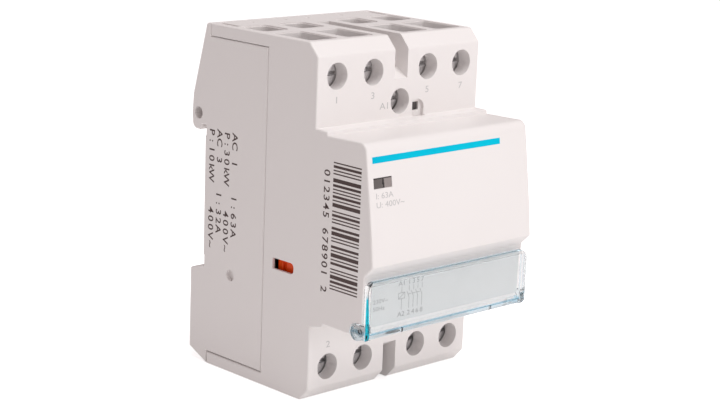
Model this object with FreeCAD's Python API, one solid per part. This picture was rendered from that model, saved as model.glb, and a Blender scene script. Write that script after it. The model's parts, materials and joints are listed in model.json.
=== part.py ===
"""Four pole modular contactor for a 35 mm top-hat rail, three modules wide.

Millimetres. The origin is on the rail seat, at the middle of the rail's height and the
middle of the width. +X is to the right seen from the front, +Y goes into the wall and
+Z is up. The front of the device therefore looks along -Y.
"""

import FreeCAD, Part
import math
import os

V = FreeCAD.Vector

# Outside
WIDTH = 53.3
HEIGHT = 85.0
BLOCK_FRONT = -39.7
ARM = 3.0
SHOULDER_Y = 2.9
SHOULDER_Z = 3.1
FOOT_REAR = 4.87
SEAT_RELIEF = 0.3
SEAT_HALF = 15.0
PARTING_Y = -22.6
PARTING_GAP = 0.12
LOWER_GAP = 0.22
EDGE = 0.45

# Nose
NOSE_TOP = 22.35
NOSE_BOTTOM = -22.2
NOSE_INNER = -55.2
NOSE_INNER_HALF = 20.2
LABEL_SEAT = -57.2

# Walls and chambers
SIDE_WALL = 1.6
CAVITY_HALF = 22.0
BASE_FLOOR = -2.5
CHAMBER_FRONT = -36.0
CHAMBER_REAR = -8.9
CHAMBER_HALF = 4.75
CHAMBER_FLOOR = 29.9

# Poles and terminals
POLES = (-20.5, -9.0, 9.0, 20.5)
POLE_SCREW_Z = 34.6
POLE_HOLE_R = 3.15
COIL_SCREW_Z = 27.0
COIL_HOLE_R = 3.05
SLOT_HALF = 2.15
SLOT_FLOOR = 34.5
SLOT_REAR = -12.0
GATE_MARKS = (-16.3, -5.7, 1.65, 13.0)

# Current path
STRIP_HALF = 2.7
STRIP_T = 2.0
STRIP_REAR = -18.9
RISER_Z = 25.5
STRIP_FRONT = -35.5
STRIP_INNER_Z = 10.5
STRIP_CLEAR = 0.2
TIP_T = 0.9
CONTACT_GAP = 4.05
BRIDGE_T = 1.5
BRIDGE_HALF = 14.4

# Clamps
CAGE_REAR_INNER = -10.7
CAGE_REAR_T = 1.5
CAGE_FRONT_T = 2.3
CAGE_HALF = 4.2
CAGE_WALL = 1.3
THREAD_FIT = 0.05

# Magnet
STACK_HALF = 8.0
YOKE_REAR = -3.2
YOKE_FRONT = -9.0
POLE_FACE = -20.0
MAGNET_GAP = 4.1
LEG_IN = 11.5
LEG_OUT = 16.0
CENTRE_LEG = 3.5
ARMATURE_REAR = -27.5
ARMATURE_T = 5.0

# Label cover
HINGE_Y = -55.4
HINGE_Z = -21.3
COVER_FRONT = -59.0
COVER_T = 1.45
COVER_PANE = 0.8
COVER_RIM = 1.15
COVER_CORNER = 2.2
COVER_TOP = -9.0
COVER_BOTTOM = -22.6
EAR_T = 1.5

# Rail clip
CLIP_HALF = 6.8
CLIP_TOP = -16.4
CLIP_BOTTOM = -41.5
CLIP_Y = (1.4, 4.4)

HALF_W = WIDTH / 2
HALF_H = HEIGHT / 2
INNER_X = HALF_W - SIDE_WALL
STRIP_MID = STRIP_REAR - STRIP_T
FIXED_TIP = STRIP_FRONT - TIP_T
BRIDGE_REAR = FIXED_TIP - CONTACT_GAP - TIP_T
BRIDGE_FRONT = BRIDGE_REAR - BRIDGE_T
OVER = 1.0


def box(x, y, z):
    """Box from three (low, high) pairs."""
    size = [high - low for low, high in (x, y, z)]
    return Part.makeBox(size[0], size[1], size[2], V(x[0], y[0], z[0]))


def centred(x, half, y, z):
    """Box that reaches half to each side of x."""
    return box((x - half, x + half), y, z)


def rod(radius, start, direction, length):
    return Part.makeCylinder(radius, length, V(*start), V(*direction))


def join(shapes):
    first = shapes[0]
    return first.multiFuse(shapes[1:]).removeSplitter() if len(shapes) > 1 else first


def flip(shape):
    """The same shape in the lower half."""
    return shape.mirror(V(0, 0, 0), V(0, 0, 1))


def corner_arc(before, corner, after, radius):
    """Tangent arc that rounds one corner: its two ends and its edge."""
    a = (before - corner).normalize()
    b = (after - corner).normalize()
    half_angle = a.getAngle(b) / 2
    run = radius / math.tan(half_angle)
    bisector = (a + b).normalize()
    middle = corner + bisector * (radius / math.sin(half_angle) - radius)
    start = corner + a * run
    end = corner + b * run
    return start, end, Part.Arc(start, middle, end).toShape()


def outline(points):
    """Closed wire through (y, z) or (y, z, radius) corners, in the plane X = 0."""
    corners = [V(0, p[0], p[1]) for p in points]
    radii = [p[2] if len(p) > 2 else 0 for p in points]
    count = len(corners)
    pieces = []
    for i in range(count):
        if radii[i]:
            pieces.append(corner_arc(corners[i - 1], corners[i], corners[(i + 1) % count], radii[i]))
        else:
            pieces.append((corners[i], corners[i], None))
    edges = []
    for i in range(count):
        if pieces[i][2]:
            edges.append(pieces[i][2])
        leave = pieces[i][1]
        arrive = pieces[(i + 1) % count][0]
        if leave.distanceToPoint(arrive) > 1e-6:
            edges.append(Part.makeLine(leave, arrive))
    return Part.Wire(edges)


def prism(points, low, high):
    """Side outline carried across the width from low to high."""
    face = Part.Face(outline(points))
    face.translate(V(low, 0, 0))
    return face.extrude(V(high - low, 0, 0))


def edges_where(shape, test):
    return [edge for edge in shape.Edges if test(edge.BoundBox)]


def soften_sides(shape, size):
    """Round the outline edges of both side faces."""
    def on_side(b):
        return b.XMax - b.XMin < 1e-6 and abs(abs(b.XMax) - HALF_W) < 1e-6
    return shape.makeFillet(size, edges_where(shape, on_side))


def spring(radius, wire, start, direction, length, turns):
    """Open helical compression spring."""
    helix = Part.makeHelix(length / turns, length, radius)
    section = Part.Wire(Part.makeCircle(wire, V(radius, 0, 0), V(0, 1, 0)))
    coil = Part.Wire(helix.Edges).makePipeShell([section], True, True)
    coil.rotate(V(0, 0, 0), *turn_from_z(direction))
    coil.translate(V(*start))
    return coil


def turn_from_z(direction):
    """Axis and angle in degrees that carry +Z to the direction."""
    turn = FreeCAD.Rotation(V(0, 0, 1), V(*direction))
    return turn.Axis, math.degrees(turn.Angle)


def both_rows(shape):
    return [shape, flip(shape)]


# Side outlines

def front_outline():
    """Front housing: block, nose and the two thin arms that reach back over the base."""
    return [
        (-1.5, HALF_H),
        (BLOCK_FRONT + SHOULDER_Y, HALF_H, 1.0),
        (BLOCK_FRONT, HALF_H - SHOULDER_Z, 1.0),
        (BLOCK_FRONT, 23.1),
        (-43.5, 23.0, 0.3),
        (-43.7, 22.1),
        (-56.15, NOSE_TOP, 2.0),
        (-57.6, 12.0),
        (-58.5, 6.0),
        (-59.2, 0.6),
        (-59.8, -5.4, 0.5),
        (-57.35, -7.8),
        (LABEL_SEAT, -8.2),
        (LABEL_SEAT, -20.7, 0.5),
        (-55.6, NOSE_BOTTOM, 0.5),
        (-44.0, NOSE_BOTTOM),
        (-43.7, -23.0),
        (BLOCK_FRONT, -23.9),
        (BLOCK_FRONT, -HALF_H + SHOULDER_Z, 1.0),
        (BLOCK_FRONT + SHOULDER_Y, -HALF_H, 1.0),
        (-1.95, -HALF_H),
        (-1.95, ARM - HALF_H),
        (PARTING_Y, ARM - HALF_H),
        (PARTING_Y, HALF_H - ARM),
        (-1.5, HALF_H - ARM),
    ]


def base_outline():
    """Base: rear body, fixed upper rail hook and lower foot."""
    top = HALF_H - ARM - PARTING_GAP
    bottom = HALF_H - ARM - LOWER_GAP
    front = PARTING_Y + PARTING_GAP
    return [
        (front, top),
        (-1.5 + PARTING_GAP, top),
        (-1.5 + PARTING_GAP, HALF_H),
        (0.1, HALF_H, 0.6),
        (4.85, 24.8, 2.0),
        (5.2, 20.0),
        (4.9, 16.1, 1.8),
        (2.15, 16.1, 0.5),
        (1.3, 16.9),
        (1.3, 17.6),
        (-SEAT_RELIEF, 17.6),
        (-SEAT_RELIEF, SEAT_HALF),
        (0.0, SEAT_HALF),
        (0.0, -SEAT_HALF),
        (-SEAT_RELIEF, -SEAT_HALF),
        (-SEAT_RELIEF, -17.7),
        (0.2, -17.7, 0.3),
        (FOOT_REAR, -19.1, 0.5),
        (FOOT_REAR, -39.6, 0.6),
        (-1.95 + PARTING_GAP, -HALF_H),
        (-1.95 + PARTING_GAP, -bottom),
        (front, -bottom),
    ]


# Space shared by both housings

def pole_chamber(x):
    """Room for one cage and its screw, with the hole for the driver."""
    room = centred(x, CHAMBER_HALF, (CHAMBER_FRONT, CHAMBER_REAR), (CHAMBER_FLOOR, HALF_H - ARM))
    hole = rod(POLE_HOLE_R, (x, BLOCK_FRONT - OVER, POLE_SCREW_Z), (0, 1, 0), 6)
    return join([room, hole])


def strip_slot(x):
    """Passage of one current strip from its clamp to the contact space."""
    half = STRIP_HALF + STRIP_CLEAR
    low = RISER_Z - STRIP_CLEAR
    entry = centred(x, half, (PARTING_Y, STRIP_REAR + STRIP_CLEAR), (low, CHAMBER_FLOOR))
    riser = centred(x, half, (STRIP_FRONT - STRIP_CLEAR, PARTING_Y), (low, RISER_Z + STRIP_T + STRIP_CLEAR))
    arm = centred(
        x,
        half,
        (STRIP_FRONT - STRIP_CLEAR, STRIP_FRONT + STRIP_T + STRIP_CLEAR),
        (CAVITY_HALF - OVER, low),
    )
    return join([entry, riser, arm])


def coil_chamber():
    """Coil terminal room, its driver hole and the open wire slot above it."""
    room = centred(0, 3.5, (CHAMBER_FRONT, -12.0), (23.4, 30.6))
    hole = rod(COIL_HOLE_R, (0, BLOCK_FRONT - OVER, COIL_SCREW_Z), (0, 1, 0), 6)
    strip = centred(0, SLOT_HALF + 0.1, (PARTING_Y, -19.4), (CAVITY_HALF - OVER, 23.5))
    drop = centred(0, SLOT_HALF, (-19.5, -14.6), (30.5, SLOT_FLOOR + OVER))
    channel = prism(
        [
            (BLOCK_FRONT - OVER, 31.8),
            (BLOCK_FRONT + 3.85, SLOT_FLOOR),
            (SLOT_REAR, SLOT_FLOOR, 1.0),
            (SLOT_REAR, HALF_H + OVER),
            (BLOCK_FRONT - OVER, HALF_H + OVER),
        ],
        -SLOT_HALF,
        SLOT_HALF,
    )
    return join([room, hole, strip, drop, channel])


def terminal_space():
    upper = [pole_chamber(x) for x in POLES]
    upper += [strip_slot(x) for x in POLES]
    upper.append(coil_chamber())
    return Part.makeCompound(upper + [flip(s) for s in upper])


def arm_pocket(x, half, y, round_r, flare):
    """Window through an arm, with rounded corners and a flared mouth."""
    top = HALF_H + OVER
    window = centred(x, half, y, (HALF_H - ARM - OVER, top))
    upright = edges_where(window, lambda b: b.ZMax - b.ZMin > ARM)
    window = window.makeFillet(round_r, upright)
    mouth = centred(x, half + flare, (y[0] - flare, y[1] + flare), (HALF_H - flare, top))
    upright = edges_where(mouth, lambda b: b.ZMax - b.ZMin > OVER)
    return join([window, mouth.makeFillet(round_r, upright)])


def arm_pockets():
    """Wire entries at the rear, clamp travel windows in front and small rear slots."""
    tools = []
    for x in POLES:
        tools.append(arm_pocket(x, 3.8, (-18.4, -9.7), 1.6, 0.35))
        tools.append(arm_pocket(x, 4.1, (-34.8, -22.4), 0.8, 0.25))
    for x in (-24.3, 24.3):
        tools.append(centred(x, 0.7, (-9.0, -2.7), (HALF_H - 1.2, HALF_H + OVER)))
    for x in GATE_MARKS:
        tools.append(rod(0.55, (x, -4.6, HALF_H - 0.15), (0, 0, 1), OVER))
    return tools + [flip(tool) for tool in tools]


# Housings

def hinge_notch(side):
    """Side recess for one ear of the label cover, open to the front and below."""
    low, high = sorted((side * (HALF_W - EAR_T - 0.25), side * (HALF_W + OVER)))
    swing = rod(2.35, (low, HINGE_Y, HINGE_Z), (1, 0, 0), high - low)
    front = box((low, high), (-61.0, HINGE_Y), (-26.0, HINGE_Z + 2.35))
    below = box((low, high), (-57.0, HINGE_Y + 1.8), (-26.0, HINGE_Z))
    return join([swing, front, below])


def hinge_boss(side):
    low, high = sorted((side * 22.5, side * (HALF_W - EAR_T - 0.25)))
    return rod(1.3, (low, HINGE_Y, HINGE_Z), (1, 0, 0), high - low)


def hinge_bore(side):
    low, high = sorted((side * 23.2, side * HALF_W))
    return rod(0.66, (low, HINGE_Y, HINGE_Z), (1, 0, 0), high - low)


def arc_walls():
    """Insulating walls between neighbouring contacts, above and below the carrier."""
    walls = []
    for x in (-14.75, -3.4, 3.4, 14.75):
        wall = centred(x, 0.6, (-50.0, -35.0), (9.2, CAVITY_HALF))
        walls.append(wall.common(box((-30, 30), (-60, 0), (0, NOSE_INNER_HALF + 0.5))))
    return walls + [flip(w) for w in walls]


def front_housing():
    body = soften_sides(prism(front_outline(), -HALF_W, HALF_W), EDGE)
    inner = box((-INNER_X, INNER_X), (-36.2, PARTING_Y + OVER), (-CAVITY_HALF, CAVITY_HALF))
    nose = box(
        (-INNER_X, INNER_X),
        (NOSE_INNER, -36.0),
        (-NOSE_INNER_HALF + 1.6, NOSE_INNER_HALF),
    )
    body = body.cut(inner).cut(nose).cut(terminal_space())
    body = body.cut(Part.makeCompound(arm_pockets()))
    body = join([body] + arc_walls() + [hinge_boss(side) for side in (-1, 1)])
    body = body.cut(hinge_notch(-1)).cut(hinge_notch(1))
    body = body.cut(hinge_bore(-1)).cut(hinge_bore(1))
    window = box((-25.0, -19.3), (-60, NOSE_INNER + OVER), (12.05, 14.5))
    driver = box((-HALF_W - OVER, -INNER_X + OVER), (-33.6, -26.1), (-12.7, -10.0))
    rounded = edges_where(driver, lambda b: b.XMax - b.XMin > OVER and b.YMax < -33)
    driver = driver.makeFillet(1.1, rounded)
    thinned = box((-HALF_W + 0.75, -INNER_X + OVER), (-35.0, -24.6), (-14.0, -8.8))
    return body.cut(window).cut(driver).cut(thinned).cut(test_socket())


def test_socket():
    """Small keyed recess beside the upper coil terminal."""
    recess = box((4.2, 8.1), (BLOCK_FRONT - OVER, BLOCK_FRONT + 0.8), (22.6, 27.0))
    corner = edges_where(recess, lambda b: b.XMin > 8.0 and b.ZMin > 26.9)
    recess = recess.makeFillet(2.2, corner)
    hole = box((4.6, 7.0), (BLOCK_FRONT, BLOCK_FRONT + 2.7), (24.2, 26.2))
    return join([recess, hole])


def clip_channel():
    """T-shaped guide in the foot, open to the rear and at both ends."""
    neck = centred(0, CLIP_HALF + 0.3, (CLIP_Y[0] - 0.3, 6.0), (-43.5, -17.0))
    tee = centred(0, CLIP_HALF + 1.7, (CLIP_Y[0] - 0.3, CLIP_Y[0] + 1.3), (-43.5, -17.0))
    return join([neck, tee])


def clip_peg():
    """Tab that the clip spring pushes against."""
    return centred(0, 1.9, (CLIP_Y[0] - 0.8, 3.9), (-33.5, -32.0))


def base_housing():
    body = soften_sides(prism(base_outline(), -HALF_W, HALF_W), EDGE)
    front = PARTING_Y - OVER
    cavity = box((-INNER_X, INNER_X), (front, BASE_FLOOR), (-CAVITY_HALF, CAVITY_HALF))
    relief = box((-INNER_X, INNER_X), (-7.4, BASE_FLOOR), (-37.5, 37.5))
    body = body.cut(cavity).cut(relief).cut(terminal_space()).cut(clip_channel())
    posts = [rod(3.0, (x, BASE_FLOOR + 0.5, 0), (0, -1, 0), 18.0) for x in (-18.5, 18.5)]
    body = join([body, clip_peg()] + posts)
    for side in (-1, 1):
        peg_hole = rod(1.4, (side * (HALF_W + OVER), -10.5, -18.0), (-side, 0, 0), OVER + 1.1)
        hook_hole = rod(1.5, (side * (HALF_W + OVER), 2.64, 20.2), (-side, 0, 0), OVER + 3.0)
        body = body.cut(peg_hole).cut(hook_hole)
    return body


# Current path

def terminal_strip(x, row):
    """Z-bent strip from the clamp to the fixed contact, with its silver tip."""
    clamp = centred(x, STRIP_HALF, (STRIP_MID, STRIP_REAR), (RISER_Z, 39.0))
    riser = centred(x, STRIP_HALF, (STRIP_FRONT, STRIP_REAR), (RISER_Z, RISER_Z + STRIP_T))
    arm = centred(
        x, STRIP_HALF, (STRIP_FRONT, STRIP_FRONT + STRIP_T), (STRIP_INNER_Z, RISER_Z + STRIP_T)
    )
    bar = join([clamp, riser, arm])
    outer = edges_where(
        bar,
        lambda b: b.XMax - b.XMin > STRIP_HALF and abs(b.ZMin - RISER_Z - STRIP_T) < 0.01
        and b.YMax < STRIP_FRONT + 0.01,
    )
    bar = bar.makeFillet(1.2, outer)
    tip = centred(x, 2.2, (FIXED_TIP, STRIP_FRONT), (11.2, 14.2))
    strip = join([bar, tip])
    return strip if row > 0 else flip(strip)


def contact_bridge(x):
    """Moving bar with a silver tip at each end and a spring boss in the middle."""
    bar = centred(x, STRIP_HALF, (BRIDGE_FRONT, BRIDGE_REAR), (-BRIDGE_HALF, BRIDGE_HALF))
    tips = both_rows(centred(x, 2.2, (BRIDGE_REAR, BRIDGE_REAR + TIP_T), (11.2, 14.2)))
    boss = rod(0.9, (x, BRIDGE_FRONT, 0), (0, -1, 0), 1.0)
    return join([bar, boss] + tips)


def contact_spring(x):
    front = -50.9
    reach = BRIDGE_FRONT - 0.5 - front
    return spring(2.0, 0.35, (x, front + 0.4, 0), (0, 1, 0), reach - 0.4, 5)


def screw(x, z, head, shank, y_head, y_tip, pitch):
    """Clamp screw: flat head with a combined slot and cross, and a threaded shank."""
    head_r, head_t = head
    root = shank - 0.61 * pitch
    profile = [V(0, y_head, 0), V(head_r - 0.3, y_head, 0), V(head_r, y_head + 0.3, 0)]
    profile += [V(head_r, y_head + head_t, 0), V(shank, y_head + head_t, 0)]
    y = y_head + head_t + 2.0
    while y + pitch < y_tip - 0.8:
        profile += [V(shank, y, 0), V(root, y + pitch / 2, 0)]
        y += pitch
    profile += [V(shank, y, 0), V(shank, y_tip - 0.7, 0), V(shank - 0.7, y_tip, 0), V(0, y_tip, 0)]
    face = Part.Face(Part.makePolygon(profile + [profile[0]]))
    body = face.revolve(V(0, 0, 0), V(0, 1, 0), 360)
    depth = 1.5
    slot = box((-head_r, head_r), (y_head - OVER, y_head + 1.0), (-0.45, 0.45))
    cross = [
        box((-a, a), (y_head - OVER, y_head + depth), (-b, b))
        for a, b in ((head_r * 0.62, 0.6), (0.6, head_r * 0.62))
    ]
    body = body.cut(join([slot] + cross))
    body.translate(V(x, 0, z))
    return body


def cage(x, row, half, wall, z, y, thread_r, screw_z):
    """Rectangular clamp body that closes around wire and strip."""
    rear, rear_t, front, front_t = y
    body = centred(x, half, (front - front_t, rear + rear_t), z)
    upright = edges_where(body, lambda b: b.ZMax - b.ZMin > 2)
    body = body.makeFillet(0.7, upright)
    hollow = centred(x, half - wall, (front, rear), (z[0] - OVER, z[1] + OVER))
    bore = rod(thread_r, (x, front - front_t - OVER, screw_z), (0, 1, 0), front_t + 2 * OVER)
    body = body.cut(hollow).cut(bore)
    return body if row > 0 else flip(body)


def pole_cage(x, row):
    depth = (CAGE_REAR_INNER, CAGE_REAR_T, STRIP_MID - 0.4, CAGE_FRONT_T)
    return cage(x, row, CAGE_HALF, CAGE_WALL, (30.2, 39.0), depth, 2.5 + THREAD_FIT, POLE_SCREW_Z)


def coil_cage(row):
    depth = (-14.6, 1.0, -20.7, 1.8)
    return cage(0, row, 3.2, 0.9, (23.7, 30.3), depth, 1.75 + THREAD_FIT, COIL_SCREW_Z)


def pole_screw(x, row):
    return screw(x, row * POLE_SCREW_Z, (3.6, 2.4), 2.5, -35.6, STRIP_MID - 0.15, 0.8)


def coil_screw(row):
    return screw(0, row * COIL_SCREW_Z, (3.3, 2.0), 1.75, -35.6, -20.55, 0.6)


def coil_strip(row):
    """Flat strip from the coil clamp down to an ear of the bobbin."""
    upright = centred(0, 2.0, (-20.4, -19.6), (18.0, 30.0))
    across = box((-2.0, 14.0), (-20.4, -19.6), (18.0, 20.5))
    strip = join([upright, across])
    return strip if row > 0 else flip(strip)


# Magnet

def e_shape(y_back, y_yoke, y_outer, y_centre):
    """Laminated core: yoke plus three legs."""
    low, high = sorted((y_back, y_yoke))
    yoke = centred(0, STACK_HALF, (low, high), (-LEG_OUT, LEG_OUT))
    low, high = sorted((y_yoke, y_outer))
    outer = both_rows(centred(0, STACK_HALF, (low, high), (LEG_IN, LEG_OUT)))
    low, high = sorted((y_yoke, y_centre))
    centre = centred(0, STACK_HALF, (low, high), (-CENTRE_LEG, CENTRE_LEG))
    return join([yoke, centre] + outer)


def fixed_core():
    core = e_shape(YOKE_REAR, YOKE_FRONT, POLE_FACE, POLE_FACE)
    slots = both_rows(centred(0, 9, (POLE_FACE - OVER, POLE_FACE + 1.7), (13.4, 14.2)))
    return core.cut(slots[0]).cut(slots[1])


def shading_rings():
    outer = centred(0, STACK_HALF + 0.9, (POLE_FACE + 0.3, POLE_FACE + 1.5), (13.45, 16.9))
    inner = centred(0, STACK_HALF + 0.05, (POLE_FACE - OVER, POLE_FACE + 3), (14.2, 16.05))
    return Part.makeCompound(both_rows(outer.cut(inner)))


def core_buffer():
    return centred(0, 7.0, (YOKE_REAR, BASE_FLOOR), (-14.0, 14.0))


def coil_bobbin():
    """Square tube with two flanges and an ear for each coil strip."""
    rear_flange = centred(0, 14.5, (-10.4, -9.2), (-10.9, 10.9))
    front_flange = centred(0, 14.5, (-21.8, -20.4), (-10.9, 10.9))
    tube = centred(0, STACK_HALF + 1.2, (-21.8, -9.2), (-4.7, 4.7))
    ears = both_rows(box((9.5, 14.5), (-21.8, -20.4), (10.0, 20.5)))
    body = join([rear_flange, front_flange, tube] + ears)
    return body.cut(centred(0, STACK_HALF + 0.3, (-23, -8), (-3.8, 3.8)))


def coil_winding():
    body = centred(0, 13.6, (-20.4, -10.4), (-10.0, 10.0))
    along = edges_where(body, lambda b: b.YMax - b.YMin > 5)
    body = body.makeFillet(3.0, along)
    return body.cut(centred(0, STACK_HALF + 1.2, (-21, -10), (-4.7, 4.7)))


def coil_leads():
    return Part.makeCompound(both_rows(rod(0.3, (12.0, -19.28, 10.02), (0, 0, 1), 8.5)))


def armature():
    front = ARMATURE_REAR - ARMATURE_T
    gap_face = POLE_FACE - MAGNET_GAP
    body = e_shape(front, ARMATURE_REAR, gap_face, gap_face - 0.2)
    return body.cut(rod(1.3, (-10, front + 2.4, 0), (1, 0, 0), 20))


def armature_pin():
    return rod(1.25, (-10.4, ARMATURE_REAR - ARMATURE_T + 2.4, 0), (1, 0, 0), 20.8)


# Moving carrier

def contact_carrier():
    """Block that carries the four bridges and the armature, with the side driver arm."""
    block = box((-24.0, 24.0), (-52.4, -33.5), (-8.5, 8.5))
    lugs = [centred(x, 1.0, (-33.5, -28.3), (-3.5, 3.5)) for x in (-9.4, 9.4)]
    arm = box((-24.9, -23.6), (-37.5, -26.2), (-13.3, -8.0))
    groove = box((-25.5, -24.3), (-29.2, -28.0), (-14.0, -9.0))
    body = join([block, arm.cut(groove)] + lugs)
    for x in POLES:
        body = body.cut(centred(x, 3.2, (-51.2, BRIDGE_REAR + 0.15), (-9, 9)))
    for x in (-14.75, 0.0, 14.75):
        body = body.cut(centred(x, 1.6 if x else 4.2, (-51.2, -35.2), (-7.0, 9)))
    body = body.cut(rod(1.3, (-12, ARMATURE_REAR - ARMATURE_T + 2.4, 0), (1, 0, 0), 24))
    return body


def state_flag():
    """Indicator plate that rides on the carrier behind the window."""
    stem = centred(-22.15, 1.0, (-52.0, -51.3), (8.5, 12.5))
    plate = box((-24.5, -19.8), (-54.2, -51.3), (12.3, 14.3))
    return join([stem, plate])


def return_springs():
    springs = [spring(2.4, 0.4, (x, -20.5, 0), (0, -1, 0), 12.6, 6) for x in (-18.5, 18.5)]
    return Part.makeCompound(springs)


# Front trim

def indicator_window():
    """Smoked lens, flush with the nose, with a flange inside."""
    lens = box((-24.95, -19.35), (-60.0, NOSE_INNER), (12.1, 14.45))
    lens = lens.common(prism(front_outline(), -HALF_W, HALF_W).translated(V(0, 0.1, 0)))
    flange = box((-25.0, -18.8), (NOSE_INNER, NOSE_INNER + 0.5), (11.4, 15.1))
    return join([lens, flange])


def label_card():
    return box((-24.6, 25.0), (LABEL_SEAT - 0.25, LABEL_SEAT), (-19.9, -9.4))


def cover_corner(side):
    """Waste outside the rounding of one upper corner of the cover's plate."""
    depth = (COVER_FRONT - OVER, COVER_FRONT + COVER_T + OVER)
    across = sorted((side * (HALF_W - COVER_CORNER), side * (HALF_W + OVER)))
    waste = box(across, depth, (COVER_TOP - COVER_CORNER, COVER_TOP + OVER))
    centre = (side * (HALF_W - COVER_CORNER), depth[0], COVER_TOP - COVER_CORNER)
    return waste.cut(rod(COVER_CORNER, centre, (0, 1, 0), depth[1] - depth[0]))


def label_cover():
    """Clear cover: front plate, an ear on each side and a pin in each ear."""
    plate = prism(
        [
            (COVER_FRONT, COVER_TOP, 0.7),
            (COVER_FRONT, COVER_BOTTOM, 1.1),
            (COVER_FRONT + COVER_T, COVER_BOTTOM),
            (COVER_FRONT + COVER_T, COVER_TOP, 0.3),
        ],
        -HALF_W,
        HALF_W,
    )
    pane_back = (COVER_FRONT + COVER_PANE, COVER_FRONT + COVER_T + OVER)
    inside = (COVER_BOTTOM + COVER_RIM, COVER_TOP - COVER_RIM)
    plate = plate.cut(centred(0, HALF_W - COVER_RIM, pane_back, inside))
    for x in (-15.0, 15.0):
        plate = plate.cut(centred(x, 0.25, pane_back, (COVER_BOTTOM - OVER, inside[0] + OVER)))
    plate = plate.cut(cover_corner(1)).cut(cover_corner(-1))
    pieces = [plate]
    for side in (-1, 1):
        low, high = sorted((side * (HALF_W - EAR_T), side * HALF_W))
        ear = rod(1.9, (low, HINGE_Y, HINGE_Z), (1, 0, 0), high - low)
        bridge = box((low, high), (COVER_FRONT + 0.5, HINGE_Y), (COVER_BOTTOM, HINGE_Z + 1.9))
        start = (side * (HALF_W - 0.5), HINGE_Y, HINGE_Z)
        pieces += [ear, bridge, rod(0.6, start, (-side, 0, 0), 2.7)]
    cover = join(pieces)
    for side in (-1, 1):
        dimple = rod(1.25, (side * (HALF_W + OVER), HINGE_Y, HINGE_Z), (-side, 0, 0), OVER + 0.25)
        cover = cover.cut(dimple)
    return cover


# Rail clip

def rail_clip():
    """Sliding jaw with a bevelled nose, side flanges, a spring window and a driver slot."""
    near, far = CLIP_Y
    bar = prism(
        [
            (near, CLIP_BOTTOM),
            (near, CLIP_TOP, 0.3),
            (near + 1.0, CLIP_TOP, 0.3),
            (far, CLIP_TOP - 2.4, 0.4),
            (far, CLIP_BOTTOM, 0.4),
        ],
        -CLIP_HALF,
        CLIP_HALF,
    )
    flanges = centred(0, CLIP_HALF + 1.4, (near, near + 1.0), (-38.0, -20.0))
    body = join([bar, flanges])
    body = body.cut(centred(0, 2.6, (0, 6), (-34.0, -24.0)))
    return body.cut(centred(0, 3.0, (0, 6), (-40.0, -38.2)))


def rail_clip_spring():
    return spring(1.35, 0.25, (0, 2.9, -31.6), (0, 0, 1), 7.2, 6)


PIECES = {
    "base_housing": base_housing,
    "front_housing": front_housing,
    "label_cover": label_cover,
    "label_card": label_card,
    "indicator_window": indicator_window,
    "rail_clip": rail_clip,
    "rail_clip_spring": rail_clip_spring,
    "fixed_core": fixed_core,
    "shading_rings": shading_rings,
    "core_buffer": core_buffer,
    "coil_bobbin": coil_bobbin,
    "coil_winding": coil_winding,
    "coil_leads": coil_leads,
    "armature": armature,
    "armature_pin": armature_pin,
    "contact_carrier": contact_carrier,
    "state_flag": state_flag,
    "return_springs": return_springs,
}


def write(name, shape):
    shape.exportStep("parts/" + name + ".step")


def main():
    os.makedirs("parts", exist_ok=True)
    for name, make in PIECES.items():
        write(name, make())
    for number, x in enumerate(POLES, 1):
        write(f"contact_bridge_{number}", contact_bridge(x))
        write(f"contact_spring_{number}", contact_spring(x))
    for side, row in (("top", 1), ("bottom", -1)):
        write(f"coil_strip_{side}", coil_strip(row))
        write(f"coil_cage_{side}", coil_cage(row))
        write(f"coil_screw_{side}", coil_screw(row))
        for number, x in enumerate(POLES, 1):
            write(f"strip_{side}_{number}", terminal_strip(x, row))
            write(f"cage_{side}_{number}", pole_cage(x, row))
            write(f"screw_{side}_{number}", pole_screw(x, row))


main()
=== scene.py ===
"""Looks for a four pole modular contactor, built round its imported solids.

Sizes and places are in millimetres and are turned into metres by MM. Solids keep their
own places: a finished piece takes its shape from its solid, merged and with eased edges,
and prints are laid on the solid's own surface.
"""

import json
import math

import bmesh
import bpy
from bpy.props import FloatProperty, FloatVectorProperty, PointerProperty
from mathutils import Matrix, Vector
from mathutils.bvhtree import BVHTree


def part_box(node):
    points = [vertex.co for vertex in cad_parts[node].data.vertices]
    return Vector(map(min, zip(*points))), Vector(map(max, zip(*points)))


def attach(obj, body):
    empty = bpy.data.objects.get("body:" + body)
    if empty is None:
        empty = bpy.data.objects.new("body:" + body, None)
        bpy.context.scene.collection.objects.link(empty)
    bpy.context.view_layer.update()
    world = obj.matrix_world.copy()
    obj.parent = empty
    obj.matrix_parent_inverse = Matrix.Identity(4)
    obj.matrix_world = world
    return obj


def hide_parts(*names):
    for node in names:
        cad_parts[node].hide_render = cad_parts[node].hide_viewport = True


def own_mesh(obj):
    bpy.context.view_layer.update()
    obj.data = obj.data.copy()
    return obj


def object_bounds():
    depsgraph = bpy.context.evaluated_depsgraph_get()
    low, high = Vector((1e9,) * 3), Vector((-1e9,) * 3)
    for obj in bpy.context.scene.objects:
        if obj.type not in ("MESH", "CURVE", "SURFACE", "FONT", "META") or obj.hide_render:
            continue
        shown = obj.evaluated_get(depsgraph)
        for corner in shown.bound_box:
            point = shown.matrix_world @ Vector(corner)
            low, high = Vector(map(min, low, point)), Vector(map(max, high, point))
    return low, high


bl_info = {
    "name": "Modular contactor looks",
    "version": (1, 0, 0),
    "blender": (4, 5, 0),
    "location": "View3D > Sidebar > Contactor",
    "description": "Finishes, prints and studio for a rail mounted contactor",
    "category": "Object",
}

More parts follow.
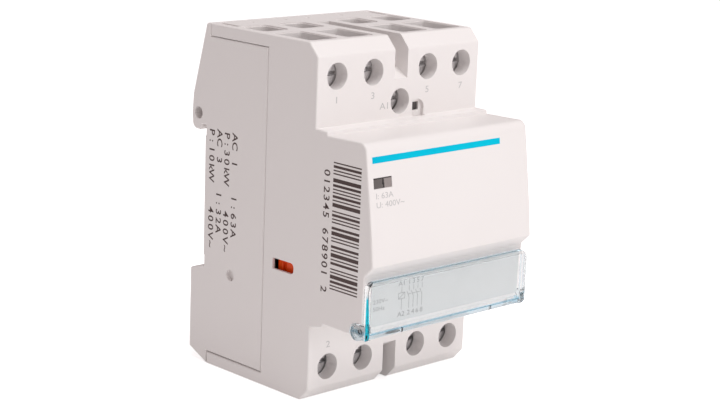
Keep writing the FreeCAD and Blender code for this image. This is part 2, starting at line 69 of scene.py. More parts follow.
MM = 0.001
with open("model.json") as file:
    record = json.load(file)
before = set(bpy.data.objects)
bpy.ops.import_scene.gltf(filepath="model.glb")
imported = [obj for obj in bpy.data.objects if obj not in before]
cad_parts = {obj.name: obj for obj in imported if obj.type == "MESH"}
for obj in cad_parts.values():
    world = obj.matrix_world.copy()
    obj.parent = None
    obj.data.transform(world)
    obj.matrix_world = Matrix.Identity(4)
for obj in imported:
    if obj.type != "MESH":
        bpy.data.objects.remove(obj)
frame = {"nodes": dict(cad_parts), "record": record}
CAD_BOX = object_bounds()
LOW, HIGH = (Vector(corner) for corner in CAD_BOX)

# Middles of the four poles across the width, in millimetres
POLES = (-20.5, -9.0, 9.0, 20.5)
ROWS = ("top", "bottom")
CARD_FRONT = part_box("label_card")[0].y
SIDE_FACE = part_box("base_housing")[0].x

# Meshes: points this close are welded, faces this flat are joined, edges under SMOOTH_BELOW
# shade smoothly and edges over EASE_ABOVE are rounded
WELD = 0.002 * MM
LETTER_WELD = 0.0005 * MM
FLAT_WITHIN = math.radians(0.5)
SMOOTH_BELOW = math.radians(28)
EASE_ABOVE = math.radians(35)

# Prints: thickness, height of a capital letter for a font size of 1, steps in each curve,
# and how wide and how bold the letters are
INK_DEPTH = 0.03 * MM
FONT_CAP = 0.71
LETTER_STEPS = 3
PLAIN_WIDTH = 1.25
TYPED_WIDTH = 1.15
TYPED_WEIGHT = 0.03

# Rays that find the front surface start here, in metres, well ahead of every part
RAY_START = -0.1


# Settings

def colour(name, text, default):
    return FloatVectorProperty(
        name=name, description=text, subtype="COLOR", size=3, min=0, max=1, default=default
    )


def length(name, text, default):
    return FloatProperty(
        name=name, description=text, default=default, min=0, precision=5, unit="LENGTH"
    )


class ContactorPlastics(bpy.types.PropertyGroup):
    housing: colour("Housing", "Warm white of both housings", (0.83, 0.80, 0.79))
    driver: colour("Driver", "Orange of the moving carrier", (0.97, 0.092, 0.004))
    bobbin: colour("Bobbin", "Black of the coil former", (0.02, 0.02, 0.022))
    clear: colour("Clear", "Body tint of the label cover", (0.985, 0.99, 0.99))
    clear_edge: colour("Clear edge", "Tint caught in the cover's edges", (0.0, 0.42, 0.64))
    smoke: colour("Smoke", "Tint of the indicator lens", (0.44, 0.39, 0.38))
    edge: length("Edge", "Rounding of moulded edges", 0.12 * MM)


class ContactorPrints(bpy.types.PropertyGroup):
    stripe: colour("Stripe", "Colour of the band across the nose", (0.0, 0.52, 0.72))
    dark_ink: colour("Dark ink", "Print on the side", (0.105, 0.078, 0.075))
    pale_ink: colour("Pale ink", "Print on the front", (0.566, 0.558, 0.558))
    card: colour("Card", "Label card", (0.60, 0.615, 0.62))
    card_ink: colour("Card ink", "Print on the label card", (0.30, 0.31, 0.32))


class ContactorMetals(bpy.types.PropertyGroup):
    zinc: colour("Zinc", "Plated screws and cages", (0.90, 0.90, 0.91))
    copper: colour("Copper", "Strips and bridges", (0.74, 0.36, 0.20))
    silver: colour("Silver", "Contact tips", (0.86, 0.85, 0.83))
    core: colour("Core", "Stacked electrical steel", (0.26, 0.26, 0.27))
    wire: colour("Wire", "Enamelled winding", (0.50, 0.17, 0.06))
    spring: colour("Spring", "Drawn spring wire", (0.55, 0.55, 0.56))
    edge: length("Edge", "Rounding of metal edges", 0.10 * MM)


class ContactorStudio(bpy.types.PropertyGroup):
    azimuth: FloatProperty(
        name="Azimuth", description="Camera turn, degrees", default=-44.07
    )
    elevation: FloatProperty(
        name="Elevation", description="Camera height angle, degrees", default=13.10
    )
    roll: FloatProperty(name="Roll", description="Camera roll, degrees", default=2.21)
    distance: length("Distance", "Camera to aim point", 459.05 * MM)
    lens: FloatProperty(name="Lens", description="Focal length, mm", default=89.73)
    ambient: FloatProperty(name="Ambient", description="Strength of the room", default=0.425)
    key: FloatProperty(name="Key", description="Key lamp, watts", default=2.28)
    fill: FloatProperty(name="Fill", description="Top lamp as a share of the key", default=1.7)


# Meshes

def add_piece(name, bm, body, *materials):
    """Turn a bmesh into a piece that rides on a body."""
    mesh = bpy.data.meshes.new(name)
    bm.to_mesh(mesh)
    bm.free()
    piece = bpy.data.objects.new(name, mesh)
    bpy.context.scene.collection.objects.link(piece)
    for material in materials:
        mesh.materials.append(material)
    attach(piece, body)
    return piece


def body_of_node(node):
    """Name of the body that a solid rides on."""
    bodies = frame["record"]["behaviour"]["bodies"]
    return next(body for body, nodes in bodies.items() if node in nodes)


def merged(node):
    """The solid's mesh with its triangles welded and its flat faces joined up."""
    bm = bmesh.new()
    bm.from_mesh(frame["nodes"][node].data)
    bmesh.ops.remove_doubles(bm, verts=bm.verts, dist=WELD)
    bmesh.ops.dissolve_limit(bm, angle_limit=FLAT_WITHIN, verts=bm.verts, edges=bm.edges)
    return bm


def shade_by_angle(bm):
    """Smooth shading, with a sharp edge wherever two faces meet at a clear angle."""
    for face in bm.faces:
        face.smooth = True
    for edge in bm.edges:
        edge.smooth = len(edge.link_faces) == 2 and edge.calc_face_angle(0) < SMOOTH_BELOW


def finish_solid(node, material, edge=0.0):
    """Show a solid as a welded copy with eased edges and its own finish."""
    bm = merged(node)
    shade_by_angle(bm)
    piece = add_piece(node + "_finished", bm, body_of_node(node), material)
    if edge:
        bevel = piece.modifiers.new("Eased edges", "BEVEL")
        bevel.width = edge
        bevel.segments = 2
        bevel.limit_method = "ANGLE"
        bevel.angle_limit = EASE_ABOVE
        bevel.harden_normals = True
        bevel.use_clamp_overlap = True
    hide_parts(node)
    return piece


def compress(piece):
    """Give a spring its own copy of its mesh. fixed_end, 0 for the lower end and 1 for the upper,
    is not used.
    """
    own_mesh(piece)


def add_box(bm, low, high):
    """Box between two corners, in millimetres."""
    size = Vector(high) - Vector(low)
    place = Matrix.Translation((Vector(low) + Vector(high)) / 2 * MM)
    bmesh.ops.create_cube(bm, size=1, matrix=place @ Matrix.Diagonal((*(size * MM), 1)))


def surface_of(node):
    """Search tree over a solid's faces."""
    bm = bmesh.new()
    bm.from_mesh(frame["nodes"][node].data)
    tree = BVHTree.FromBMesh(bm)
    bm.free()
    return tree


def lay_on(bm, node):
    """Move a print drawn round y = 0 back onto the front surface of a solid."""
    tree = surface_of(node)
    for vert in bm.verts:
        start = Vector((vert.co.x, RAY_START, vert.co.z))
        hit = tree.ray_cast(start, Vector((0, 1, 0)))[0]
        if hit is None:
            raise RuntimeError("A print reaches past " + node)
        vert.co.y += hit.y


# Letters are drawn flat. FRONT turns them to face -Y, SIDE to face -X and to read downwards.
FRONT = Matrix(((1, 0, 0), (0, 0, -1), (0, 1, 0))).to_4x4()
SIDE = Matrix(((0, 0, -1), (0, -1, 0), (-1, 0, 0))).to_4x4()


def add_text(bm, text, height, place, facing, align="CENTER", weight=0.0, wide=PLAIN_WIDTH):
    """Letters as thin closed shapes. place is the middle or the left end, in metres."""
    curve = bpy.data.curves.new("letters", "FONT")
    curve.body = text
    curve.size = height * MM / FONT_CAP
    curve.extrude = INK_DEPTH / 2
    curve.offset = weight * MM
    curve.align_x = align
    curve.align_y = "CENTER"
    curve.resolution_u = LETTER_STEPS
    holder = bpy.data.objects.new("letters", curve)
    bpy.context.scene.collection.objects.link(holder)
    mesh = bpy.data.meshes.new_from_object(holder)
    bpy.data.objects.remove(holder)
    bpy.data.curves.remove(curve)
    mesh.transform(Matrix.Translation(place) @ facing @ Matrix.Diagonal((wide, 1, 1, 1)))
    bm.from_mesh(mesh)
    bpy.data.meshes.remove(mesh)


def add_typed_row(bm, text, height, pitch, start, facing):
    """Letters one pitch apart, as a typewriter sets them. start is the first one's middle."""
    along = facing.to_3x3() @ Vector((1, 0, 0))
    for i, letter in enumerate(text):
        if letter != " ":
            place = start + along * i * pitch * MM
            add_text(bm, letter, height, place, facing, weight=TYPED_WEIGHT, wide=TYPED_WIDTH)


def close_letters(bm):
    """Weld each letter's faces to its sides and turn every face outwards."""
    bmesh.ops.remove_doubles(bm, verts=bm.verts, dist=LETTER_WELD)
    bmesh.ops.recalc_face_normals(bm, faces=bm.faces)


# Materials

def new_group(name, inputs, outputs):
    """Empty node group with its sockets, and its two end nodes."""
    tree = bpy.data.node_groups.new(name, "ShaderNodeTree")
    for kind, label, value in inputs:
        socket = tree.interface.new_socket(label, in_out="INPUT", socket_type=kind)
        socket.default_value = value
    for kind, label in outputs:
        tree.interface.new_socket(label, in_out="OUTPUT", socket_type=kind)
    return tree, tree.nodes.new("NodeGroupInput"), tree.nodes.new("NodeGroupOutput")


def add_node(tree, kind, settings=(), **values):
    """Add a node, set its properties, then its input values by name."""
    made = tree.nodes.new(kind)
    for key, value in dict(settings).items():
        setattr(made, key, value)
    for label, value in values.items():
        made.inputs[label.replace("_", " ")].default_value = value
    return made


def math_node(tree, operation, first, second=None):
    """Output of one sum. Each term is a number or a socket."""
    made = tree.nodes.new("ShaderNodeMath")
    made.operation = operation
    for socket, value in zip(made.inputs, (first, second)):
        if value is None:
            continue
        if isinstance(value, (int, float)):
            socket.default_value = value
        else:
            tree.links.new(value, socket)
    return made.outputs[0]


def ramp(tree, value, low, high, out_low=0.0, out_high=1.0):
    """Straight change from out_low to out_high while the value goes from low to high."""
    made = tree.nodes.new("ShaderNodeMapRange")
    made.inputs["From Min"].default_value = low
    made.inputs["From Max"].default_value = high
    made.inputs["To Min"].default_value = out_low
    made.inputs["To Max"].default_value = out_high
    tree.links.new(value, made.inputs["Value"])
    return made.outputs["Result"]


def mix_colour(tree, factor, first, second, mode="MIX"):
    """Blend two colours. Each of the three is a value or a socket."""
    made = tree.nodes.new("ShaderNodeMix")
    made.data_type = "RGBA"
    made.blend_type = mode
    colour_a = made.inputs[6]
    colour_b = made.inputs[7]
    for socket, value in ((made.inputs[0], factor), (colour_a, first), (colour_b, second)):
        if isinstance(value, bpy.types.NodeSocket):
            tree.links.new(value, socket)
        elif isinstance(value, (int, float)):
            socket.default_value = value
        else:
            socket.default_value = (*value, 1)
    return made.outputs[2]


def coordinates(tree):
    return tree.nodes.new("ShaderNodeTexCoord").outputs["Object"]


def axes(tree):
    """The three object coordinates as separate sockets."""
    split = tree.nodes.new("ShaderNodeSeparateXYZ")
    tree.links.new(coordinates(tree), split.inputs[0])
    return split.outputs


def noise(tree, where, scale, detail=2.0):
    """Noise value at a place. The scale is a number or a socket."""
    made = add_node(tree, "ShaderNodeTexNoise", Detail=detail)
    tree.links.new(where, made.inputs["Vector"])
    if isinstance(scale, (int, float)):
        made.inputs["Scale"].default_value = scale
    else:
        tree.links.new(scale, made.inputs["Scale"])
    return made.outputs[0]


def bump(tree, height, depth, strength):
    """Normal that follows a height. The strength is a socket."""
    made = add_node(tree, "ShaderNodeBump", Distance=depth)
    tree.links.new(height, made.inputs["Height"])
    tree.links.new(strength, made.inputs["Strength"])
    return made.outputs[0]


# Shared surfaces: scale and detail of the broad mottling, detail of the fine grain, spread of
# the roughness, depth of the grain, and the middle value of a noise
MOTTLE_SCALE = 55.0
MOTTLE_DETAIL = 4.0
GRAIN_DETAIL = 2.0
GLOSS_SPREAD = 0.16
GRAIN_DEPTH = 0.03 * MM
MIDDLE = 0.5
SURFACE_INPUTS = (
    ("NodeSocketColor", "Colour", (0.8, 0.8, 0.8, 1)),
    ("NodeSocketFloat", "Mottle", 0.03),
    ("NodeSocketFloat", "Grain", 3000.0),
    ("NodeSocketFloat", "Relief", 0.2),
    ("NodeSocketFloat", "Roughness", 0.45),
)
SURFACE_OUTPUTS = (
    ("NodeSocketColor", "Colour"),
    ("NodeSocketFloat", "Roughness"),
    ("NodeSocketVector", "Normal"),
)


def surface_group(name, stretch):
    """Mottled colour, uneven gloss and a fine grain, stretched for brushed metal."""
    tree, given, out = new_group(name, SURFACE_INPUTS, SURFACE_OUTPUTS)
    mapping = add_node(tree, "ShaderNodeMapping")
    mapping.inputs["Scale"].default_value = stretch
    tree.links.new(coordinates(tree), mapping.inputs["Vector"])
    where = mapping.outputs[0]
    broad = math_node(tree, "SUBTRACT", noise(tree, where, MOTTLE_SCALE, MOTTLE_DETAIL), MIDDLE)
    fine = noise(tree, where, given.outputs["Grain"], GRAIN_DETAIL)
    shade = math_node(tree, "MULTIPLY", broad, given.outputs["Mottle"])
    grey = add_node(tree, "ShaderNodeCombineColor")
    level = math_node(tree, "ADD", shade, MIDDLE)
    for socket in grey.inputs:
        tree.links.new(level, socket)
    tinted = mix_colour(tree, 1.0, given.outputs["Colour"], grey.outputs[0], "OVERLAY")
    swing = math_node(tree, "SUBTRACT", fine, MIDDLE)
    uneven = math_node(tree, "MULTIPLY", swing, GLOSS_SPREAD)
    rough = math_node(tree, "ADD", given.outputs["Roughness"], uneven)
    tree.links.new(tinted, out.inputs["Colour"])
    tree.links.new(rough, out.inputs["Roughness"])
    normal = bump(tree, fine, GRAIN_DEPTH, given.outputs["Relief"])
    tree.links.new(normal, out.inputs["Normal"])
    return tree


def surface_material(name, group, tint, mottle, grain, relief, roughness, **shader):
    """Principled material fed by a surface group. tint is a colour or a function of the tree."""
    material = bpy.data.materials.new(name)
    material.use_nodes = True
    tree = material.node_tree
    skin = tree.nodes["Principled BSDF"]
    surface = tree.nodes.new("ShaderNodeGroup")
    surface.node_tree = group
    values = {"Mottle": mottle, "Grain": grain, "Relief": relief, "Roughness": roughness}
    for label, value in values.items():
        surface.inputs[label].default_value = value
    if callable(tint):
        tree.links.new(tint(tree), surface.inputs["Colour"])
    else:
        surface.inputs["Colour"].default_value = (*tint, 1)
    tree.links.new(surface.outputs["Colour"], skin.inputs["Base Color"])
    tree.links.new(surface.outputs["Roughness"], skin.inputs["Roughness"])
    tree.links.new(surface.outputs["Normal"], skin.inputs["Normal"])
    for label, value in shader.items():
        skin.inputs[label.replace("_", " ")].default_value = value
    return material


# Surface groups made so far, by name, the grain's stretch along drawn metal, and the index of
# refraction of plastics
GROUPS = {}
EVEN = (1, 1, 1)
DRAWN = (1, 0.15, 1)
PLASTIC_IOR = 1.5


def moulded(name, tint, mottle=0.05, grain=3200.0, relief=0.25, roughness=0.42, **shader):
    """Plastic, paper, rubber or ink."""
    if "moulded" not in GROUPS:
        GROUPS["moulded"] = surface_group("Moulded surface", EVEN)
    shader.setdefault("IOR", PLASTIC_IOR)
    group = GROUPS["moulded"]
    return surface_material(name, group, tint, mottle, grain, relief, roughness, **shader)


def metal(name, tint, mottle=0.12, grain=1500.0, relief=0.2, roughness=0.30, **shader):
    """Metal drawn along Y."""
    if "metal" not in GROUPS:
        GROUPS["metal"] = surface_group("Drawn metal surface", DRAWN)
    shader.setdefault("Metallic", 1.0)
    group = GROUPS["metal"]
    return surface_material(name, group, tint, mottle, grain, relief, roughness, **shader)


def ink(name, tint):
    """Flat print with hardly any shine."""
    return moulded(
        name,
        tuple(tint),
        mottle=0.25,
        grain=5000.0,
        relief=0.1,
        roughness=0.6,
        Specular_IOR_Level=0.05,
    )


def darkened(tint, share):
    """The tint with every value scaled down to a share."""
    return tuple(value * share for value in tint)


def lets_light_through(material, tint):
    """Let lamps shine through a clear part, so that what is behind it stays lit."""
    tree = material.node_tree
    skin = tree.nodes["Principled BSDF"]
    out = tree.nodes["Material Output"]
    path = tree.nodes.new("ShaderNodeLightPath")
    through = tree.nodes.new("ShaderNodeBsdfTransparent")
    through.inputs[0].default_value = (*tint, 1)
    mixer = tree.nodes.new("ShaderNodeMixShader")
    tree.links.new(path.outputs["Is Shadow Ray"], mixer.inputs[0])
    tree.links.new(skin.outputs[0], mixer.inputs[1])
    tree.links.new(through.outputs[0], mixer.inputs[2])
    tree.links.new(mixer.outputs[0], out.inputs["Surface"])


# Where the clear cover catches blue light: where the wedge starts under the upper edge, how far
# in it reaches, where the plate ends behind its face, the width of a line and of its blur, how
# far under the middle the line over the hinge lies, the top of the lower band, and how far the
# right edge reaches in. A pair of values is the start and the end of a blur.
WEDGE_DROP = 2.4 * MM
WEDGE_REACH = 0.85 * MM
PLATE_BACK = (0.8 * MM, 0.7 * MM)
LINE_WIDTH = 0.16 * MM
LINE_BLUR = 0.1 * MM
LINE_DROP = 21.2 * MM
BAND_TOP = (-21.0 * MM, -21.2 * MM)
RIGHT_EDGE = (0.35 * MM, 0.25 * MM)

# How strongly each of them is tinted
TOP_SHARE = 0.55
LINE_SHARE = 0.6
BAND_SHARE = 0.26
RIGHT_SHARE = 0.3


def cover_wedge(tree, x, y, z):
    """A wedge at the left that widens downwards, in the plate only."""
    low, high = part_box("label_cover")
    reach = ramp(tree, z, high.z - WEDGE_DROP, low.z, 0.0, WEDGE_REACH)
    inward = math_node(tree, "SUBTRACT", x, low.x)
    spare = math_node(tree, "SUBTRACT", reach, inward)
    plate = ramp(tree, y, low.y + PLATE_BACK[0], low.y + PLATE_BACK[1])
    return math_node(tree, "MULTIPLY", ramp(tree, spare, 0.0, LINE_BLUR), plate)


def cover_lines(tree, x, z):
    """The upper rim, the line over the hinge, the band under it and the right edge."""
    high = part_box("label_cover")[1]
    rim = high.z - LINE_WIDTH
    top = ramp(tree, z, rim - LINE_BLUR, rim, 0.0, TOP_SHARE)
    off_line = math_node(tree, "ABSOLUTE", math_node(tree, "ADD", z, LINE_DROP))
    line = ramp(tree, off_line, LINE_WIDTH + LINE_BLUR, LINE_WIDTH, 0.0, LINE_SHARE)
    band = ramp(tree, z, BAND_TOP[0], BAND_TOP[1], 0.0, BAND_SHARE)
    right = ramp(tree, x, high.x - RIGHT_EDGE[0], high.x - RIGHT_EDGE[1], 0.0, RIGHT_SHARE)
    lines = math_node(tree, "MAXIMUM", top, math_node(tree, "MAXIMUM", line, band))
    return math_node(tree, "MAXIMUM", lines, right)


def cover_tint(plastics):
    """Nearly colourless, with blue light caught in a wedge at the left and in thin lines."""
    def build(tree):
        x, y, z = axes(tree)
        wedge = cover_wedge(tree, x, y, z)
        edge = math_node(tree, "MAXIMUM", wedge, cover_lines(tree, x, z))
        return mix_colour(tree, edge, tuple(plastics.clear), tuple(plastics.clear_edge))

    return build


# Two fields side by side: how fine and how wide the divider's waver is, the blur between the
# fields, the divider's half width with its blur, and the dark strip at the top
WAVER_SCALE = 900.0
WAVER_WIDTH = 0.9 * MM
FIELD_BLUR = 0.1 * MM
DIVIDER = (0.12 * MM, 0.3 * MM)
TOP_STRIP = (0.95 * MM, 0.8 * MM)


def two_fields(name, left, right, divider):
    """Two fields with a wavering divider between them, across a solid's width."""
    low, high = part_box(name)
    middle = (low.x + high.x) / 2

    def build(tree):
        x, y, z = axes(tree)
        loose = noise(tree, coordinates(tree), WAVER_SCALE, 1.0)
        waver = math_node(tree, "SUBTRACT", loose, MIDDLE)
        bent = math_node(tree, "ADD", x, math_node(tree, "MULTIPLY", waver, WAVER_WIDTH))
        off = math_node(tree, "SUBTRACT", bent, middle)
        field = mix_colour(tree, ramp(tree, off, 0, FIELD_BLUR), left, right)
        far = ramp(tree, math_node(tree, "ABSOLUTE", off), DIVIDER[0], DIVIDER[1])
        fields = mix_colour(tree, far, divider, field)
        top = ramp(tree, z, high.z - TOP_STRIP[0], high.z - TOP_STRIP[1])
        return mix_colour(tree, top, fields, divider)

    return build


# Contact tips: their inner and outer distance from the middle in Z, how deep they sit in
# their strip or bridge, and the blur of their outline
TIP_INNER = (11.15 * MM, 11.2 * MM)
TIP_OUTER = (14.25 * MM, 14.2 * MM)
TIP_DEPTH = 0.9 * MM
TIP_BLUR = 0.05 * MM


def tip_tint(metals, front, back):
    """Silver on the contact tips between two places in Y, copper elsewhere."""
    def build(tree):
        x, y, z = axes(tree)
        height = math_node(tree, "ABSOLUTE", z)
        inside = ramp(tree, height, *TIP_INNER)
        tests = (
            ramp(tree, height, *TIP_OUTER),
            ramp(tree, y, front - TIP_BLUR, front),
            ramp(tree, y, back, back - TIP_BLUR),
        )
        for test in tests:
            inside = math_node(tree, "MULTIPLY", inside, test)
        return mix_colour(tree, inside, tuple(metals.copper), tuple(metals.silver))

    return build


# Edges of the stacked sheets: the wave pattern's scale, which gives about two lines to the
# millimetre, how uneven they are, the part of each wave that shows as a line, and how dark it is
SHEET_SCALE = 620.0
SHEET_UNEVEN = 0.6
SHEET_LINE = (0.1, 0.4)
SHEET_DARK = 0.35


def lamination_tint(core):
    """Fine dark lines, side by side across the width, for the gaps between sheets."""
    def build(tree):
        along = {"bands_direction": "X"}
        wave = add_node(
            tree, "ShaderNodeTexWave", along, Scale=SHEET_SCALE, Distortion=SHEET_UNEVEN
        )
        tree.links.new(coordinates(tree), wave.inputs["Vector"])
        lines = ramp(tree, wave.outputs["Fac"], *SHEET_LINE)
        return mix_colour(tree, lines, darkened(core, SHEET_DARK), tuple(core))

    return build


# Operators

class CONTACTOR_OT_housings(bpy.types.Operator):
    """Both moulded housings and the sliding rail clip"""

    bl_idname = "contactor.housings"
    bl_label = "Housings"

    clip_shade = 0.93

    def execute(self, context):
        plastics = context.scene.contactor_plastics
        shell = moulded("Warm white plastic", tuple(plastics.housing), relief=0.35)
        for name in ("base_housing", "front_housing"):
            finish_solid(name, shell, plastics.edge)
        clip = moulded("Clip plastic", darkened(plastics.housing, self.clip_shade), roughness=0.36)
        finish_solid("rail_clip", clip, plastics.edge)
        return {"FINISHED"}


class CONTACTOR_OT_front_prints(bpy.types.Operator):
    """Stripe, terminal numbers and rating on the front"""

    bl_idname = "contactor.front_prints"
    bl_label = "Front prints"

    # Millimetres: X and Z of the stripe's middle, its width and height, and the cuts between
    # its rows. Then the heights of the letters and where they sit.
    stripe_middle = (-4.0, 18.48)
    stripe_size = (42.0, 1.45)
    stripe_cuts = 8
    number_height = 1.6
    upper_numbers = 29.0
    lower_numbers = -29.2
    coil_numbers = (("A1", -5.0, 26.2), ("A2", -5.0, -26.2))
    rating_height = 1.3
    rating_left = -24.6
    ratings = (("I: 63A", 10.4), ("U: 400V~", 8.4))

    def execute(self, context):
        prints = context.scene.contactor_prints
        self.stripe(ink("Stripe ink", prints.stripe))
        self.marks(ink("Pale ink", prints.pale_ink))
        return {"FINISHED"}

    def stripe(self, material):
        """Thin band, cut into narrow rows so that it follows the nose's curve."""
        bm = bmesh.new()
        x, z = self.stripe_middle
        wide, high = self.stripe_size
        place = Matrix.Translation((x * MM, 0, z * MM))
        size = Matrix.Diagonal((wide * MM, INK_DEPTH, high * MM, 1))
        bmesh.ops.create_cube(bm, size=1, matrix=place @ size)
        uprights = [e for e in bm.edges if abs(e.verts[0].co.z - e.verts[1].co.z) > MM]
        bmesh.ops.subdivide_edges(bm, edges=uprights, cuts=self.stripe_cuts, use_grid_fill=True)
        lay_on(bm, "front_housing")
        add_piece("nose_stripe", bm, "housing", material)

    def marks(self, material):
        """Odd numbers over the nose, even ones under it, the coil's pair and the rating."""
        bm = bmesh.new()
        numbers = [(str(2 * i + 1), x, self.upper_numbers) for i, x in enumerate(POLES)]
        numbers += [(str(2 * i + 2), x, self.lower_numbers) for i, x in enumerate(POLES)]
        numbers += self.coil_numbers
        for text, x, z in numbers:
            add_text(bm, text, self.number_height, Vector((x, 0, z)) * MM, FRONT)
        for text, z in self.ratings:
            place = Vector((self.rating_left, 0, z)) * MM
            add_text(bm, text, self.rating_height, place, FRONT, "LEFT")
        lay_on(bm, "front_housing")
        close_letters(bm)
        add_piece("front_marks", bm, "housing", material)


class CONTACTOR_OT_side_prints(bpy.types.Operator):
    """Ratings, a plain bar pattern and its digits on the left side"""

    bl_idname = "contactor.side_prints"
    bl_label = "Side prints"

    # Millimetres: capital height, steps between letters, top of a row in Z, rows in Y
    height = 1.95
    rating_pitch = 2.15
    rating_top = 16.3
    ratings = (
        (-11.3, "AC 1   I:63A"),
        (-8.4, "P:30kW   400V~"),
        (-5.6, "AC 3   I:32A"),
        (-2.7, "P:10kW   400V~"),
    )
    digit_pitch = 1.95
    digits = "012345 678901 2"
    digit_place = (-43.95, 13.7)

    # Bars: span in Y, first one's top in Z, narrowest bar, narrowest gap as a share of it,
    # then every bar and every gap as a whole number of the narrowest
    bar_span = (-55.2, -46.1)
    bar_top = 16.6
    bar_unit = 0.30
    gap_share = 1.5
    bar_widths = "121132112131211231121312113211"
    bar_gaps = "111211111121112111211112111111"

    def execute(self, context):
        dark = ink("Dark ink", context.scene.contactor_prints.dark_ink)
        self.letters(dark)
        self.bars(dark)
        return {"FINISHED"}

    def letters(self, material):
        bm = bmesh.new()
        for y, text in self.ratings:
            start = Vector((SIDE_FACE, y * MM, self.rating_top * MM))
            add_typed_row(bm, text, self.height, self.rating_pitch, start, SIDE)
        y, z = self.digit_place
        start = Vector((SIDE_FACE, y * MM, z * MM))
        add_typed_row(bm, self.digits, self.height, self.digit_pitch, start, SIDE)
        close_letters(bm)
        add_piece("side_ratings", bm, "housing", material)

    def bars(self, material):
        bm = bmesh.new()
        half = INK_DEPTH / MM / 2
        face = SIDE_FACE / MM
        front, back = self.bar_span
        z = self.bar_top
        for wide, gap in zip(self.bar_widths, self.bar_gaps):
            thick = self.bar_unit * int(wide)
            add_box(bm, (face - half, front, z - thick), (face + half, back, z))
            z -= thick + self.bar_unit * self.gap_share * int(gap)
        add_piece("side_bars", bm, "housing", material)


class CONTACTOR_OT_label(bpy.types.Operator):
    """Label card with a plain circuit symbol"""

    bl_idname = "contactor.label"
    bl_label = "Label card"

    # Millimetres: line width, X of the coil and of the contacts, ends of the leads in Z
    # from the top down, half width of the coil's box, how far an open contact leans
    line_width = 0.13
    coil = -14.9
    contacts = (-12.5, -11.1, -9.7, -8.3)
    leads_top = -11.9
    coil_top = -13.3
    coil_foot = -14.7
    contact_top = -13.1
    blade_top = -13.2
    contact_foot = -14.6
    leads_foot = -17.3
    coil_half = 1.0
    blade_lean = 0.75

    # The dashed link between the contacts: its height, the middles of its dashes, half a dash
    link = -13.95
    dashes = (-12.3, -10.9, -9.5)
    half_dash = 0.5

    # Text: height of numbers and where their rows sit, height and left end of the supply
    number_height = 1.15
    number_rows = ((1, -11.1), (2, -18.4))
    supply_height = 1.0
    supply_left = -24.0
    supply = (("230V~", -14.2), ("50Hz", -15.9))

    def execute(self, context):
        prints = context.scene.contactor_prints
        paper = moulded(
            "Card", tuple(prints.card), mottle=0.06, grain=1800.0, relief=0.15, roughness=0.6
        )
        finish_solid("label_card", paper)
        drawing = bmesh.new()
        for x0, z0, x1, z1 in self.strokes():
            self.stroke(drawing, x0, z0, x1, z1)
        self.texts(drawing)
        close_letters(drawing)
        add_piece("card_drawing", drawing, "housing", ink("Card ink", prints.card_ink))
        return {"FINISHED"}

    def strokes(self):
        """Ends of every line: the contacts, their link, the coil's leads and its crossed box."""
        lines = []
        for x in self.contacts:
            lines.append((x, self.leads_top, x, self.contact_top))
            lines.append((x, self.contact_foot, x, self.leads_foot))
            lines.append((x - self.blade_lean, self.blade_top, x, self.contact_foot))
        for x in self.dashes:
            lines.append((x - self.half_dash, self.link, x + self.half_dash, self.link))
        left = self.coil - self.coil_half
        right = self.coil + self.coil_half
        lines.append((self.coil, self.leads_top, self.coil, self.coil_top))
        lines.append((self.coil, self.coil_foot, self.coil, self.leads_foot))
        for z in (self.coil_top, self.coil_foot):
            lines.append((left, z, right, z))
        for x in (left, right):
            lines.append((x, self.coil_top, x, self.coil_foot))
        lines.append((left, self.coil_foot, right, self.coil_top))
        return lines

    def stroke(self, bm, x0, z0, x1, z1):
        """Thin straight line on the card's face."""
        run = Vector((x1 - x0, 0, z1 - z0))
        middle = Vector(((x0 + x1) / 2, CARD_FRONT / MM, (z0 + z1) / 2))
        turn = Matrix.Rotation(math.atan2(-run.z, run.x), 4, "Y")
        size = Matrix.Diagonal((run.length * MM, INK_DEPTH, self.line_width * MM, 1))
        place = Matrix.Translation(middle * MM) @ turn @ size
        bmesh.ops.create_cube(bm, size=1, matrix=place)

    def texts(self, bm):
        for row, z in self.number_rows:
            numbers = [(f"A{row}", self.coil)]
            numbers += [(str(2 * i + row), x) for i, x in enumerate(self.contacts)]
            for text, x in numbers:
                place = Vector((x, CARD_FRONT / MM, z)) * MM
                add_text(bm, text, self.number_height, place, FRONT)
        for text, z in self.supply:
            place = Vector((self.supply_left, CARD_FRONT / MM, z)) * MM
            add_text(bm, text, self.supply_height, place, FRONT, "LEFT")


class CONTACTOR_OT_clear_parts(bpy.types.Operator):
    """Hinged label cover and the smoked indicator lens"""

    bl_idname = "contactor.clear_parts"
    bl_label = "Clear parts"

    # Rounding of the edges, the light that each lets through to what is behind it, the shade
    # of the lens's left field and the colour of its divider
    cover_edge = 0.22 * MM
    cover_light = (0.97, 0.985, 0.99)
    lens_edge = 0.08 * MM
    lens_light = (0.9, 0.88, 0.88)
    dark_field = 0.45
    divider = (0.04, 0.035, 0.035)

    def execute(self, context):
        plastics = context.scene.contactor_plastics
        self.cover(plastics)
        self.lens(plastics)
        return {"FINISHED"}

    def cover(self, plastics):
        material = moulded(
            "Clear cover",
            cover_tint(plastics),
            mottle=0.02,
            grain=400.0,
            relief=0.04,
            roughness=0.09,
            IOR=1.3,
            Transmission_Weight=1.0,
        )
        lets_light_through(material, self.cover_light)
        finish_solid("label_cover", material, self.cover_edge)

    def lens(self, plastics):
        smoke = tuple(plastics.smoke)
        fields = two_fields(
            "indicator_window", darkened(smoke, self.dark_field), smoke, self.divider
        )
        material = moulded(
            "Smoked lens",
            fields,
            mottle=0.3,
            grain=600.0,
            relief=0.05,
            roughness=0.12,
            Transmission_Weight=0.3,
        )
        lets_light_through(material, self.lens_light)
        finish_solid("indicator_window", material, self.lens_edge)


